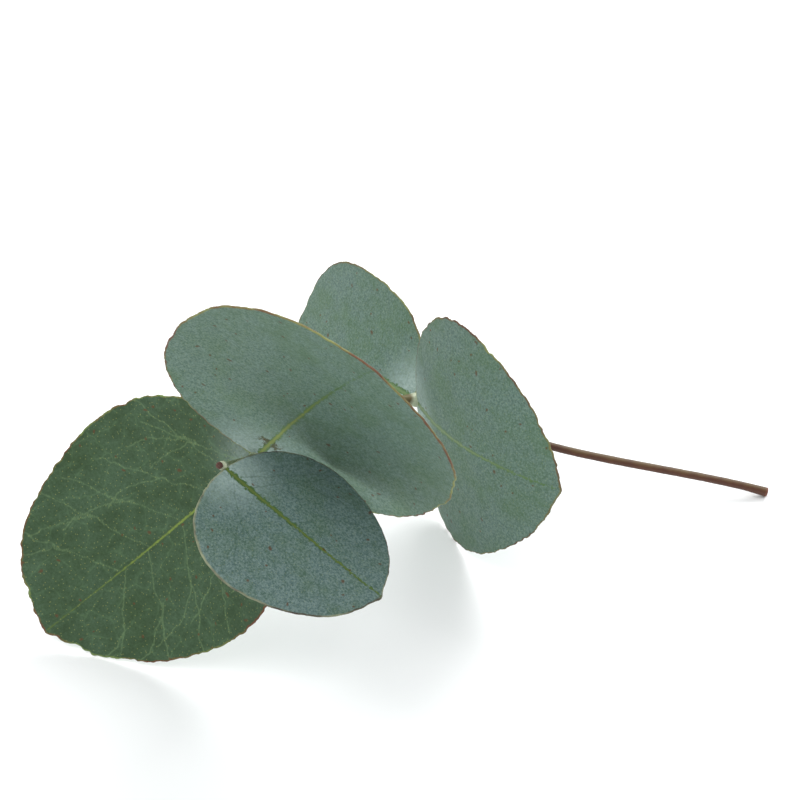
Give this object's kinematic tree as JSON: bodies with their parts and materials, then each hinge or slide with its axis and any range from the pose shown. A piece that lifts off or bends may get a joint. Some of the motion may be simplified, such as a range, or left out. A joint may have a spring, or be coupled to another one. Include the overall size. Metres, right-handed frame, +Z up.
{
  "type": "eucalyptus branch",
  "caption": "Short cut branch of silver-dollar eucalyptus lying on a surface: a thin woody stem with stalkless round leaves in crossed pairs and a dried end bud.",
  "frame": {"origin": "on the surface the branch lies on, under the middle of its box", "axes": "+Z up from the surface, the cut end of the stem towards +X, the tip of the branch towards -X and -Y"},
  "size_m": [0.1476, 0.1244, 0.0937],
  "materials": {
    "bark": "matte",
    "green_blade": "satin",
    "waxy_blade": "matte",
    "blue_blade": "matte",
    "dried_bud": "matte"
  },
  "bodies": {
    "root": {"stem": "bark", "leaf_back": "waxy_blade", "leaf_side": "waxy_blade", "leaf_down": "green_blade", "leaf_up": "waxy_blade", "leaf_tip": "blue_blade", "bud": "dried_bud"}
  },
  "joints": []
}
